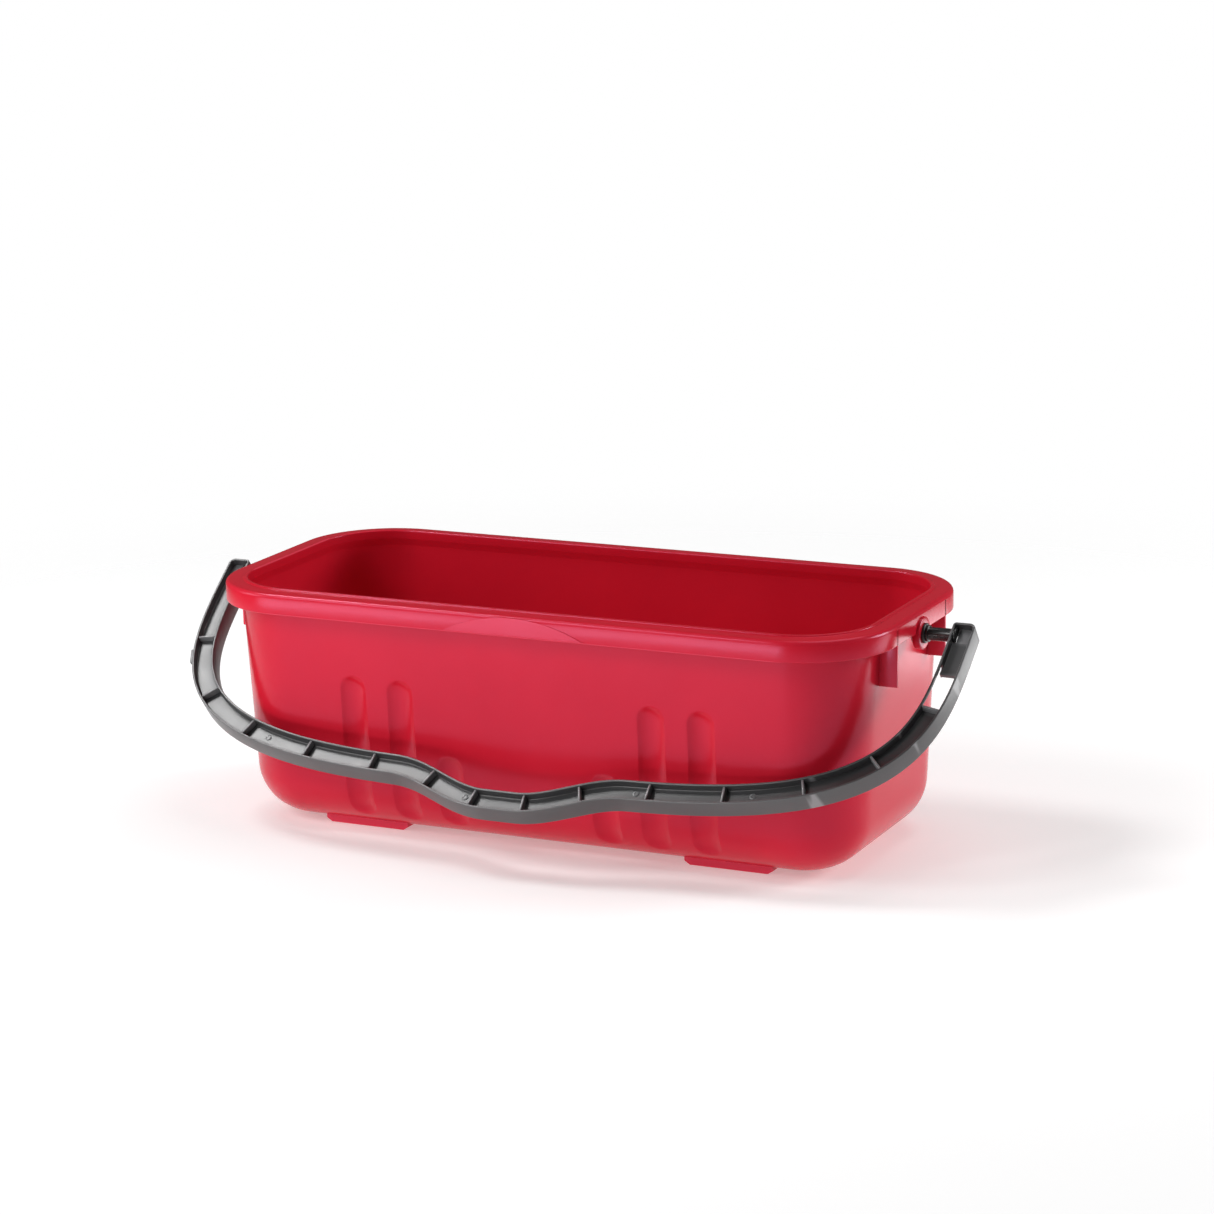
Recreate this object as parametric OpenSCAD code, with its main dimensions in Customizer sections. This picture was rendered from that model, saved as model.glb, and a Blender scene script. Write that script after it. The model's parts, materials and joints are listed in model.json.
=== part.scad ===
// Oblong wash bucket: a moulded tub with a deep turned-down rim and a swinging channel bail
// carried on two flanged pivot pins. Millimetres, +Z up, X along the bucket, -Y at the front.

/* [Tub] */
// Length over the rim
rim_length = 540; // [520:1:580]
// Width over the rim
rim_width = 247; // [235:1:275]
// Height of the flat top of the rim above the floor
rim_height = 187; // [180:1:200]
// Plan corner radius of the rim
rim_corner_r = 70; // [68:1:74]
// Height of the turned-down skirt below the rim
skirt_height = 15.7; // [14:0.1:18]
// Thickness of the skirt and of the flat rim
rim_thickness = 2.5; // [2:0.1:3]
// Width of the flat rim from its outer edge to the inner lip
rim_shelf = 17; // [16:0.5:18]
// Width of the small raised lip round the mouth
lip_width = 3; // [2.5:0.1:3.5]
// Height of the small raised lip above the rim
lip_height = 1.2; // [0.8:0.1:2]
// Distance from the rim's outer edge in to the wall
wall_inset = 12.5; // [12:0.5:13]
// Inward slope of the wall, in mm per mm of height
wall_slope = 0.05; // [0.03:0.01:0.06]
// Thickness of the walls and floor
wall_thickness = 3.5; // [3:0.1:4]
// Radius between the wall and the floor
base_edge_r = 40; // [36:1:44]

/* [Flutes] */
// Radius of the hollow flutes
flute_r = 18.3; // [17:0.1:19]
// Distance of the flute's axis outside the wall
flute_offset = 14.8; // [14:0.1:15.5]
// Distance of the outermost flutes from the middle
flute_outer_x = 142; // [138:1:146]
// Distance of the middle flutes from the middle
flute_middle_x = 102.5; // [100:0.5:105]
// Distance of the short flutes from the middle
flute_inner_x = 63.5; // [60:0.5:66]
// Height of the top of the four long flutes
flute_long_top = 126; // [115:1:135]
// Height of the top of the two short flutes
flute_short_top = 70; // [66:1:90]

/* [Rim details] */
// Half length of the raised crescent on the skirt
crescent_half = 58.5; // [50:0.5:65]
// Height of the crescent
crescent_height = 14.5; // [12:0.1:15]
// How far the crescent stands out of the skirt
crescent_raise = 0.5; // [0.4:0.1:1]
// Distance of the end ribs from the middle line
gusset_y = 49; // [45:0.5:52]
// Thickness of the end ribs
gusset_thickness = 2.5; // [2:0.1:3]
// Height of the lower edge of the end ribs
gusset_bottom = 141; // [130:1:150]

/* [Feet] */
// Height of the feet
foot_height = 3; // [3:0.1:3.4]
// Distance of the middle of a foot from the middle of the tub
foot_x = 150; // [140:1:155]
// Length of a foot
foot_length = 70; // [60:1:74]
// Distance of the outer edge of a foot from the middle line
foot_front = 80; // [76:0.5:82]
// Width of a foot
foot_width = 30; // [26:0.5:34]

/* [Pivots] */
// Height of the pivot axis
pivot_height = 170; // [165:0.5:172]
// Radius of the round pivot boss
boss_r = 12; // [11:0.5:13]
// How far the boss stands out of the skirt
boss_raise = 2; // [1.5:0.1:3]
// Length of the boss along the pivot axis
boss_length = 5.5; // [5:0.1:6.5]
// Radius of the bush body in the boss
bush_r = 6.4; // [6.2:0.1:7]
// Radius of the bush flange
bush_flange_r = 7.4; // [7.2:0.1:9]
// Thickness of the bush flange
bush_flange = 2; // [1.5:0.1:2.5]
// Radius of the pin
pin_r = 4.9; // [4.5:0.1:5]
// Radial clearance of the pin in the bush
pin_clearance = 0.06; // [0.03:0.01:0.1]
// Radius of the pin's head and collar
pin_collar_r = 6.1; // [5.9:0.1:6.3]
// Thickness of the pin's collar
pin_collar = 1.6; // [1.2:0.1:2]
// Thickness of the pin's head inside the bail arm
pin_head = 2; // [1.5:0.1:2.5]
// Outer radius of the retaining clip
clip_r = 8; // [7.5:0.1:9]
// Thickness of the retaining clip
clip_thickness = 2; // [1.5:0.1:2.4]
// Small gap between pieces that turn past each other
side_gap = 0.35; // [0.3:0.01:0.4]

/* [Bail] */
// Half width of the bail along its centre line
bail_half = 302; // [301:0.5:304]
// Reach of the bail from the pivot axis to the middle of its span
bail_reach = 170.6; // [170:0.2:174]
// Extra reach of the grip in the middle
grip_reach = 21; // [18:1:25]
// Half length of the grip's flat middle
grip_flat = 12; // [5:1:20]
// Half length of the part where the grip bows out
grip_half = 95; // [85:1:105]
// Squareness of the bail's corners
bail_square = 3.55; // [3.4:0.05:3.7]
// Width of the channel
channel_width = 17.4; // [17:0.1:17.8]
// Thickness of the channel's two flanges
flange_thickness = 1.8; // [1.6:0.1:2.2]
// Thickness of the channel's web
web_thickness = 2.5; // [2:0.1:3]
// Depth from the pivot axis back to the back edge of the flanges
channel_back = 9.5; // [9:0.1:9.5]
// Depth from the pivot axis out to the open edge of the channel
channel_front = 6; // [5.8:0.1:6]
// Depth of the front of the channel, from its open edge to the web
channel_depth = 6; // [5.6:0.1:7]
// How far the stiffening ribs stop short of the open edge
rib_drop = 1; // [0.5:0.1:2]
// Thickness of the stiffening ribs
rib_thickness = 2.2; // [2:0.1:2.6]
// How far the arms reach past the pivot axis
arm_past = 8; // [8:0.1:10]
// Radius of the outer corner at the end of each arm
arm_corner_r = 5; // [3.5:0.1:5.5]
// Distance from the pivot axis to the start of the window in the right arm
window_start = 36.5; // [34:0.5:40]
// Length of the window in the right arm
window_length = 32.5; // [28:0.5:34]
// How far the cut in the inner flange starts above the window
window_lead = 7; // [5:0.5:8]
// Depth of the inner flange that is left beside the window
window_strip = 2.5; // [2:0.1:3.5]
// Distance from the pivot axis to the small tab on the left arm
tab_reach = 87; // [82:1:92]
// Length of the tab
tab_length = 13; // [8:0.5:14]
// Width of the tab
tab_width = 3; // [2:0.5:4]
// How far the tab stands out of the arm
tab_raise = 2; // [1:0.1:2.4]
// Angle at which the bail hangs, from straight down
hang_angle = 52.4; // [52.4:0.1:60]

/* [View] */
// Sub-part to draw

/* [Hidden] */
big = 200;
// middle of the plan corners, the same at every height
corner_x = rim_length / 2 - rim_corner_r;
corner_y = rim_width / 2 - rim_corner_r;
skirt_bottom = rim_height - skirt_height;
shelf_under = rim_height - rim_thickness;
slope_angle = atan(wall_slope);
edge_z = foot_height + base_edge_r;
wall_top_r = rim_corner_r - wall_inset;
// centre of the round between wall and floor, measured out from the corner centre
edge_r = wall_at(edge_z) - base_edge_r / cos(slope_angle);
touch_r = edge_r + base_edge_r * cos(slope_angle);
touch_z = edge_z - base_edge_r * sin(slope_angle);
inner_edge_r = base_edge_r - wall_thickness;
mouth_r = rim_corner_r - rim_shelf;
lip_root = 5;
// feet, which end inside the tub's wall
edge_y = corner_y + edge_r;
foot_top = foot_height + wall_thickness / 2;
foot_outer_top = edge_z - sqrt(pow(base_edge_r - wall_thickness / 2, 2) - pow(foot_front - edge_y, 2));
// flutes
flute_reach = sqrt(flute_r * flute_r - flute_offset * flute_offset);
flute_fade = 50;
// pivots
skirt_x = rim_length / 2;
boss_face = skirt_x + boss_raise;
boss_back = boss_face - boss_length;
collar_start = boss_face + bush_flange + side_gap;
arm_inner = bail_half - channel_width / 2;
arm_cell = arm_inner + flange_thickness;
clip_start = boss_back - side_gap - clip_thickness;
pin_tip = clip_start - 1.2;
// bail
pocket_floor = channel_front - channel_depth;
web_back = pocket_floor - web_thickness;
head_room = 0.5;
head_r = channel_front - 0.2;
mid_width = channel_width - 2 * flange_thickness;
span_x = 285;
span_steps = 64;
arm_steps = 12;
corner_steps = 6;
low_rib = window_start + window_length + rib_thickness / 2;
span_ribs = [20.5, 61.5, 112.5, 169.5, 226.5, 272.5];

function wall_at(z) = wall_top_r - wall_slope * (skirt_bottom - z);
function grip_at(x) = abs(x) < grip_half ? grip_reach * (1 + cos(180 * max(0, abs(x) - grip_flat)
    / (grip_half - grip_flat))) / 2 : 0;
function power_at(v) = pow(max(0, 1 - pow(v, bail_square)), 1 / bail_square);
function reach_at(x) = bail_reach * power_at(abs(x) / bail_half) + grip_at(x);
function half_at(s) = bail_half * power_at(max(0, s) / bail_reach);
function span_point(x) = [x, -reach_at(x)];
function arm_point(side, s) = [side * half_at(s), -s];
function unit(v) = v / norm(v);
function side_step(a, b, d) = d * [unit(b - a)[1], -unit(b - a)[0]];
function span_edge(x, d) = span_point(x) + side_step(span_point(x - 1), span_point(x + 1), d);
function arm_edge(s, d) = arm_point(1, s) + side_step(arm_point(1, s + 1), arm_point(1, s - 1), d);
function flip(p) = [-p[0], p[1]];
span_end = reach_at(span_x);

// one arm's side, d outside its centre line, from its end (round by r) to where the span starts
function arm_side(d, top, r) = concat(
    [for (i = [0 : r > 0 ? corner_steps - 1 : -1])
        [bail_half + d - r + r * sin(90 * i / corner_steps), top - r + r * cos(90 * i / corner_steps)]],
    [for (i = [0 : arm_steps - 1]) arm_edge(r - top + i * (span_end + top - r) / arm_steps, d)]
);
// points along the bail from the left arm's end to the right arm's end, d outside its centre line
function bail_line(d, top, r) = concat(
    [for (p = arm_side(d, top, r)) flip(p)],
    [for (i = [0 : span_steps]) span_edge(-span_x + i * 2 * span_x / span_steps, d)],
    reversed(arm_side(d, top, r))
);
function reversed(v) = [for (i = [len(v) - 1 : -1 : 0]) v[i]];

tub();
handle();
pivot_pin_left();
pivot_pin_right();
pivot_bush_left();
pivot_bush_right();
pin_clip_left();
pin_clip_right();

// One-piece tub: walls, floor, rim, skirt, flutes, end ribs, feet and pivot bosses
module tub() {
    color([0.80, 0.05, 0.09])
    difference() {
        union() {
            tub_walls();
            both_ends() end_ribs();
            both_ends() boss();
            feet();
            crescent();
        }
        both_ends() boss_hole();
    }
}

module tub_walls() {
    difference() {
        stadium(corner_x, corner_y, foot_height, rim_height) tub_outside();
        tub_room();
        flutes(flute_r);
    }
}

// Space inside the tub, with a rounded rib standing into it behind each flute
module tub_room() {
    difference() {
        stadium(corner_x, corner_y, foot_height + wall_thickness, rim_height + lip_height + 1) tub_inside();
        flutes(flute_r + wall_thickness);
    }
}

// A tub-like solid: the outline swept round a rectangle, with a flat slab in the middle
module stadium(cx, cy, low, high) {
    for (i = [0 : 3])
        translate([i == 0 || i == 3 ? cx : -cx, i < 2 ? cy : -cy, 0])
            rotate([0, 0, 90 * i])
                rotate_extrude(angle = 90, $fn = 96)
                    children();
    both_ends() stadium_side(cx, 2 * cy) children();
    both_fronts() rotate([0, 0, -90]) stadium_side(cy, 2 * cx) children();
    translate([-cx, -cy, low])
        cube([2 * cx, 2 * cy, high - low]);
}

module stadium_side(out, length) {
    translate([out, length / 2, 0])
        rotate([90, 0, 0])
            linear_extrude(length)
                children();
}

module both_ends() {
    children();
    mirror([1, 0, 0]) children();
}

module both_fronts() {
    children();
    mirror([0, 1, 0]) children();
}

// Outside of the tub from the corner centre outwards: floor, round, wall, rim and skirt
module tub_outside() {
    polygon([
        [0, foot_height],
        [edge_r, foot_height],
        [touch_r, touch_z],
        [wall_at(shelf_under), shelf_under],
        [rim_corner_r - rim_thickness, shelf_under],
        [rim_corner_r - rim_thickness, skirt_bottom],
        [rim_corner_r, skirt_bottom],
        [rim_corner_r, rim_height - 3],
        [rim_corner_r - 1, rim_height - 1],
        [rim_corner_r - 3, rim_height],
        [mouth_r + lip_width, rim_height],
        [mouth_r + lip_width - lip_height / 2, rim_height + lip_height],
        [mouth_r, rim_height + lip_height],
        [mouth_r - 2, rim_height + lip_height],
        [mouth_r - 2, rim_height],
        [0, rim_height]
    ]);
    edge_sector(base_edge_r);
}

// Disc sector between the floor and the sloping wall
module edge_sector(r) {
    translate([edge_r, edge_z])
        intersection() {
            circle(r = r, $fn = 128);
            polygon([
                [0, 0],
                [0, -2 * r],
                [2 * r, -2 * r],
                [2 * r * cos(slope_angle), -2 * r * sin(slope_angle)]
            ]);
        }
}

// Inside of the tub from the corner centre outwards
module tub_inside() {
    inner_touch_r = edge_r + inner_edge_r * cos(slope_angle);
    inner_touch_z = edge_z - inner_edge_r * sin(slope_angle);
    thin = wall_thickness / cos(slope_angle);
    polygon([
        [0, foot_height + wall_thickness],
        [edge_r, foot_height + wall_thickness],
        [inner_touch_r, inner_touch_z],
        [wall_at(rim_height - 2 * lip_root) - thin, rim_height - 2 * lip_root],
        [mouth_r, rim_height - lip_root],
        [mouth_r, rim_height + lip_height + 1],
        [0, rim_height + lip_height + 1]
    ]);
    edge_sector(inner_edge_r);
}

// The hollow flutes on the front and back walls
module flutes(r) {
    for (turn = [0, 180], side = [-1, 1])
        rotate([0, 0, turn]) {
            flute(side * flute_outer_x, flute_long_top, r);
            flute(side * flute_middle_x, flute_long_top, r);
            flute(side * flute_inner_x, flute_short_top, r);
        }
}

// One flute: round top and a straight run down the wall that fades out in the round at the base
module flute(x, top, r) {
    run = (top - flute_reach - touch_z) / cos(slope_angle);
    translate([x, -corner_y - edge_r, edge_z])
        rotate([slope_angle, 0, 0])
            translate([0, -base_edge_r - flute_offset, 0]) {
                translate([0, 0, -flute_fade])
                    cylinder(h = run + flute_fade, r = r, $fn = 96);
                translate([0, 0, run])
                    half_ball(r);
            }
}

module half_ball(r) {
    intersection() {
        sphere(r = r, $fn = 96);
        translate([-r - 1, -r - 1, 0])
            cube([2 * r + 2, 2 * r + 2, r + 1]);
    }
}

// The two upright ribs between the end wall and the skirt
module end_ribs() {
    rib_start = corner_x + wall_at(gusset_bottom) - wall_thickness / 2;
    for (y = [-gusset_y, gusset_y])
        translate([rib_start, y - gusset_thickness / 2, gusset_bottom])
            cube([skirt_x - rim_thickness / 2 - rib_start, gusset_thickness, shelf_under + 1 - gusset_bottom]);
    for (y = [-gusset_y, gusset_y])
        translate([skirt_x - rim_thickness - 1, y - gusset_thickness / 2, gusset_bottom])
            cube([rim_thickness + 1, gusset_thickness, skirt_bottom + 1 - gusset_bottom]);
}

// Round boss that carries the pivot bush
module boss() {
    translate([boss_back, 0, pivot_height])
        rotate([0, 90, 0])
            cylinder(h = boss_length, r = boss_r, $fn = 96);
}

module boss_hole() {
    translate([boss_back - 1, 0, pivot_height])
        rotate([0, 90, 0])
            cylinder(h = boss_length + 2, r = bush_r, $fn = 72);
}

module feet() {
    both_ends()
        both_fronts()
            translate([foot_x - foot_length / 2, 0, 0])
                rotate([90, 0, 90])
                    linear_extrude(foot_length)
                        polygon([
                            [-foot_front, 0],
                            [foot_width - foot_front, 0],
                            [foot_width - foot_front, foot_top],
                            [-edge_y, foot_top],
                            [-foot_front, foot_outer_top],
                        ]);
}

// Raised crescent on the front and back of the skirt
module crescent() {
    r = (crescent_half * crescent_half + crescent_height * crescent_height) / (2 * crescent_height);
    both_fronts()
        translate([0, -rim_width / 2 + rim_thickness / 2, 0])
            rotate([90, 0, 0])
                linear_extrude(rim_thickness / 2 + crescent_raise)
                    intersection() {
                        translate([0, skirt_bottom + crescent_height - r])
                            circle(r = r, $fn = 256);
                        translate([-crescent_half - 1, skirt_bottom])
                            square([2 * crescent_half + 2, crescent_height + 1]);
                    }
}

// Channel-section bail hanging at its rest angle
module handle() {
    color([0.13, 0.13, 0.14])
    translate([0, 0, pivot_height])
        rotate([90 - hang_angle, 0, 0])
            difference() {
                union() {
                    channel();
                    stiffeners();
                    side_tab();
                }
                arm_window();
                both_ends() arm_pin_hole();
            }
}

// Two flanges joined by a web between their edges
module channel() {
    difference() {
        translate([0, 0, -channel_back])
            linear_extrude(channel_back + channel_front)
                bail_band(channel_width / 2, -channel_width / 2, arm_past, arm_corner_r);
        translate([0, 0, pocket_floor])
            linear_extrude(channel_depth + 1)
                pocket_band();
        translate([0, 0, -channel_back - 1])
            linear_extrude(web_back + channel_back + 1)
                pocket_band();
    }
}

// Area between two lines that run along the bail, outer and inner from its centre line
module bail_band(outer, inner, top, r) {
    polygon(concat(bail_line(outer, top, r), reversed(bail_line(inner, top, 0))));
}

module pocket_band() {
    bail_band(mid_width / 2, -mid_width / 2, arm_past - flange_thickness, arm_corner_r - flange_thickness);
}

// Cross ribs in the channel, square to its run
module stiffeners() {
    for (x = span_ribs, side = [-1, 1])
        stiffener(span_point(side * x), span_point(side * x + 1) - span_point(side * x - 1));
    for (side = [-1, 1])
        stiffener(arm_point(side, low_rib), arm_point(side, low_rib + 1) - arm_point(side, low_rib - 1));
}

module stiffener(at, along) {
    translate([at[0], at[1], rib_drop - channel_back])
        rotate([0, 0, atan2(along[1], along[0])])
            translate([-rib_thickness / 2, -mid_width / 2 - flange_thickness / 2, 0])
                cube([rib_thickness, mid_width + flange_thickness, channel_back + channel_front - 2 * rib_drop]);
}

// Small tab on the outside of the left arm, near its open edge
module side_tab() {
    lean = atan2(half_at(tab_reach - 1) - half_at(tab_reach + 1), 2);
    translate([-half_at(tab_reach), -tab_reach, channel_front - rib_drop - tab_width])
        rotate([0, 0, lean])
            translate([-channel_width / 2 - tab_raise, -tab_length / 2, 0])
                cube([flange_thickness / 2 + tab_raise, tab_length, tab_width]);
}

// Opening in the right arm: through the web, and through the inner flange but for a strip at its front edge
module arm_window() {
    arm_slot(window_start, window_length, mid_width / 2);
    arm_slot(window_start - window_lead, window_lead + 1, -mid_width / 2);
}

// Slot through the arm from outer inwards, starting a distance down from the pivot axis
module arm_slot(start, length, outer) {
    intersection() {
        translate([0, 0, -channel_back - 1])
            linear_extrude(channel_back + 1 + channel_front - window_strip)
                bail_band(outer, -channel_width / 2 - 1, arm_past - flange_thickness, 0);
        translate([bail_half - big / 2, -start - length, -channel_back - 2])
            cube([big, length, channel_back + channel_front + 4]);
    }
}

module arm_pin_hole() {
    translate([arm_inner - 1, 0, 0])
        rotate([0, 90, 0])
            cylinder(h = flange_thickness + 2, r = pin_r, $fn = 72);
    translate([arm_cell, 0, 0])
        rotate([0, 90, 0])
            cylinder(h = pin_head + head_room, r = head_r + head_room, $fn = 72);
}

// Pin on the pivot axis: head in the arm, collar outside the bush, tip behind the boss
module pivot_pin() {
    color([0.05, 0.05, 0.06])
    translate([0, 0, pivot_height])
        rotate([0, 90, 0]) {
            translate([0, 0, pin_tip])
                cylinder(h = arm_cell - pin_tip, r = pin_r, $fn = 72);
            translate([0, 0, collar_start])
                cylinder(h = pin_collar, r = pin_collar_r, $fn = 72);
            translate([0, 0, arm_cell])
                cylinder(h = pin_head, r = head_r, $fn = 72);
        }
}

module pivot_pin_right() {
    pivot_pin();
}

module pivot_pin_left() {
    mirror([1, 0, 0]) pivot_pin();
}

// Flanged bush held in the boss
module pivot_bush() {
    color([0.08, 0.08, 0.09])
    translate([0, 0, pivot_height])
        rotate([0, 90, 0])
            difference() {
                union() {
                    translate([0, 0, boss_back])
                        cylinder(h = boss_length, r = bush_r, $fn = 72);
                    translate([0, 0, boss_face])
                        cylinder(h = bush_flange, r = bush_flange_r, $fn = 72);
                }
                translate([0, 0, boss_back - 1])
                    cylinder(h = boss_length + bush_flange + 2, r = pin_r + pin_clearance, $fn = 72);
            }
}

module pivot_bush_right() {
    pivot_bush();
}

module pivot_bush_left() {
    mirror([1, 0, 0]) pivot_bush();
}

// Spring clip on the tip of the pin, behind the boss, open on one side
module pin_clip() {
    color([0.62, 0.63, 0.65])
    translate([clip_start, 0, pivot_height])
        rotate([0, 90, 0])
            difference() {
                cylinder(h = clip_thickness, r = clip_r, $fn = 72);
                translate([0, 0, -1])
                    cylinder(h = clip_thickness + 2, r = pin_r, $fn = 72);
                translate([0, -pin_r * 0.7, -1])
                    cube([clip_r + 1, pin_r * 1.4, clip_thickness + 2]);
            }
}

module pin_clip_right() {
    pin_clip();
}

module pin_clip_left() {
    mirror([1, 0, 0]) pin_clip();
}
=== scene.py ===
"""Looks of the wash bucket: a fluted tub, a channel-section bail, and its pins, bushes and clips."""

import json
import math

import bmesh
import bpy
import numpy as np
from mathutils import Matrix, Vector


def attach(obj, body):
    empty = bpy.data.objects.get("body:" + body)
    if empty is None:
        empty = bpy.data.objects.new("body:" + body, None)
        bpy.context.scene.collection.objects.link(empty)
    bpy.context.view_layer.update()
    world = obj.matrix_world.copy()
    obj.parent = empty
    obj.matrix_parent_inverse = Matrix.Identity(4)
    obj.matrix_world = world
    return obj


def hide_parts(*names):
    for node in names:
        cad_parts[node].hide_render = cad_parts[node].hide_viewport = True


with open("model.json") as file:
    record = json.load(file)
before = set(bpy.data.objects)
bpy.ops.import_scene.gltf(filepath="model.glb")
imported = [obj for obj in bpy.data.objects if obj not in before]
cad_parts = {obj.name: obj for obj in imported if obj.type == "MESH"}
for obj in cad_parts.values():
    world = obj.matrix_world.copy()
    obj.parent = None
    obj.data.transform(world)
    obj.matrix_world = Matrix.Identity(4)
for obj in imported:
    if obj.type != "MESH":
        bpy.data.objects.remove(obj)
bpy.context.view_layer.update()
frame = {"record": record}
joint = frame["record"]["behaviour"]["joints"][0]

MM = 0.001
PIVOT_Z = joint["pos_m"][2] / MM

# All sizes below are in millimetres, in the CAD's own frame.
# tub: centres of the plan's corners, then distances outwards from them and heights
CORNER_X, CORNER_Y = 200.0, 53.5
RIM_R, RIM_TOP, RIM_T = 70.0, 187.0, 2.5
SKIRT_LOW, SHELF_UNDER = 171.3, 184.5
LIP_TOP, MOUTH_R, LIP_W = 188.2, 53.0, 3.0
FLARE_LOW, FLARE_TOP = 176.0, 181.5
WALL_R, SLOPE, WALL_T = 57.5, 0.05, 3.5
BASE_Z, EDGE_R = 3.0, 40.0
LEAN = math.atan(SLOPE)
EDGE_Z = BASE_Z + EDGE_R

# flutes: (middle, top) of each, the same on the left and the right
FLUTES = ((142.0, 126.0), (102.5, 126.0), (63.5, 70.0))
# radius, how far its axis is outside the wall, half width on the wall, where the lower end starts
FLUTE_R, FLUTE_OUT, FLUTE_HALF, FLUTE_LOW = 18.3, 14.8, 10.76, 22.0
# softening of the edges and its square, and the trace taken off where a flute meets the flat wall
FLUTE_SOFT, FLUTE_SOFT_SQUARE, FLUTE_TRACE = 0.173, 0.03, 0.02
# no flute reaches past these places up the wall
FLUTE_FROM, FLUTE_TO = -20, 140
# the normal and the place up the wall that stand for "no flutes here"
NO_FLUTES = (0, 0, 999)

# bail: half width, reach and squareness of its centre line, and the bulge of the grip
BAIL_HALF, BAIL_REACH, SQUARE = 302.0, 170.6, 3.55
GRIP_REACH, GRIP_HALF, GRIP_FLAT = 21.0, 95.0, 12.0
# angle from straight down at rest
HANG = math.radians(52.4)
# the channel's section: half width, thicknesses, back and front edges, depth down to the web
HALF_W, FLANGE, WEB, BACK, FRONT, DEPTH = 8.7, 1.8, 2.5, -9.5, 6.0, 6.0
POCKET = HALF_W - FLANGE
FLOOR = FRONT - DEPTH
WEB_FILLET = 0.8
ARM_PAST, END_R = 8.0, 5.0
# right arm's window, as distances from the pivot, and the strip of inner flange left in front of it
WINDOW = (36.5, 69.0)
FLANGE_CUT = (WINDOW[0] - 7.0, WINDOW[1])
STRIP = 2.5
SPAN_RIBS = (20.5, 61.5, 112.5, 169.5, 226.5, 272.5)
LOW_RIB = WINDOW[1] + 1.1
MARKS = (-208.0, -28.0, 102.0, 190.0)
TAB_AT, TAB_LONG, TAB_WIDE, TAB_OUT = 87.0, 13.0, 3.0, 2.0

# pivots: places along the axis, from the middle of the bucket, and radii
ARM_CELL = BAIL_HALF - HALF_W + FLANGE
BOSS_BACK, BOSS_FACE, BOSS_R = 266.5, 272.0, 12
BUSH_FACE, BUSH_BORE, BUSH_R, BUSH_FLANGE_R = 274.0, 4.96, 6.4, 7.4
COLLAR_IN, COLLAR_OUT, COLLAR_R = 274.35, 275.95, 6.1
PIN_TIP, PIN_R, AXIS_R = 262.65, 4.9, 0.02
HEAD_T, HEAD_R = 2.0, FRONT - 0.2
WEB_START = HEAD_R + 0.9

# from the bail's own plane, with the pivot axis along x, to its place at rest
TO_ROW = Matrix.Translation((0, 0, PIVOT_Z)) @ Matrix.Rotation(math.radians(90) - HANG, 4, "X")


def wall_r(z):
    """Outer wall's distance from the corner centre at height z."""
    return WALL_R - SLOPE * (SKIRT_LOW - z)


# middle of the round between wall and base, and the height where the straight wall starts
EDGE_C = wall_r(EDGE_Z) - EDGE_R / math.cos(LEAN)
TOUCH_Z = EDGE_Z - EDGE_R * math.sin(LEAN)


def new_object(name, verts, faces, body, material, slot, smooth_angle=35.0):
    """A mesh object in the row frame that rides on a body, from points in millimetres."""
    mesh = bpy.data.meshes.new(name)
    mesh.from_pydata([Vector(v) * MM for v in verts], [], faces)
    mesh.validate()
    obj = bpy.data.objects.new(name, mesh)
    bpy.context.collection.objects.link(obj)
    bm = bmesh.new()
    bm.from_mesh(mesh)
    bmesh.ops.remove_doubles(bm, verts=bm.verts, dist=2e-6)
    bmesh.ops.dissolve_degenerate(bm, edges=bm.edges, dist=1e-6)
    bmesh.ops.recalc_face_normals(bm, faces=bm.faces)
    limit = math.radians(smooth_angle)
    for f in bm.faces:
        f.smooth = True
    for e in bm.edges:
        if len(e.link_faces) == 2 and e.calc_face_angle() > limit:
            e.smooth = False
    bm.to_mesh(mesh)
    bm.free()
    mesh.materials.append(material)
    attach(obj, body)
    return obj


def rounded(points, steps=5):
    """A polyline with its corners rounded: each point is (a, b, radius)."""
    out = []
    last = len(points) - 1
    for i, (a, b, r) in enumerate(points):
        if r <= 0 or i in (0, last):
            out.append((a, b))
            continue
        p = np.array([a, b])
        d0 = np.array(points[i - 1][:2]) - p
        d1 = np.array(points[i + 1][:2]) - p
        d0, d1 = d0 / np.linalg.norm(d0), d1 / np.linalg.norm(d1)
        half = math.acos(max(-1.0, min(1.0, float(d0 @ d1)))) / 2
        back = r / math.tan(half)
        centre = p + (d0 + d1) / np.linalg.norm(d0 + d1) * r / math.sin(half)
        start = p + d0 * back - centre
        end = p + d1 * back - centre
        turn = math.atan2(start[0] * end[1] - start[1] * end[0], start @ end)
        for k in range(steps + 1):
            t = turn * k / steps
            c, s = math.cos(t), math.sin(t)
            out.append((centre[0] + c * start[0] - s * start[1],
                        centre[1] + s * start[0] + c * start[1]))
    return out


# ---------------------------------------------------------------- materials
def nodes_of(name):
    """A new material, its node tree and its main shader."""
    mat = bpy.data.materials.new(name)
    mat.use_nodes = True
    tree = mat.node_tree
    return mat, tree, tree.nodes["Principled BSDF"]


def noise(tree, scale, detail=3.0, rough=0.55):
    """Soft noise that stays with the object."""
    coords = tree.nodes.new("ShaderNodeTexCoord")
    n = tree.nodes.new("ShaderNodeTexNoise")
    n.inputs["Scale"].default_value = scale
    n.inputs["Detail"].default_value = detail
    n.inputs["Roughness"].default_value = rough
    tree.links.new(coords.outputs["Object"], n.inputs["Vector"])
    return n.outputs["Fac"]


def ramp(tree, value, stops):
    """Colour by value, between (position, colour) stops."""
    r = tree.nodes.new("ShaderNodeValToRGB")
    for element, (position, colour) in zip(r.color_ramp.elements, stops):
        element.position = position
        element.color = colour
    tree.links.new(value, r.inputs["Fac"])
    return r.outputs["Color"]


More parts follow.
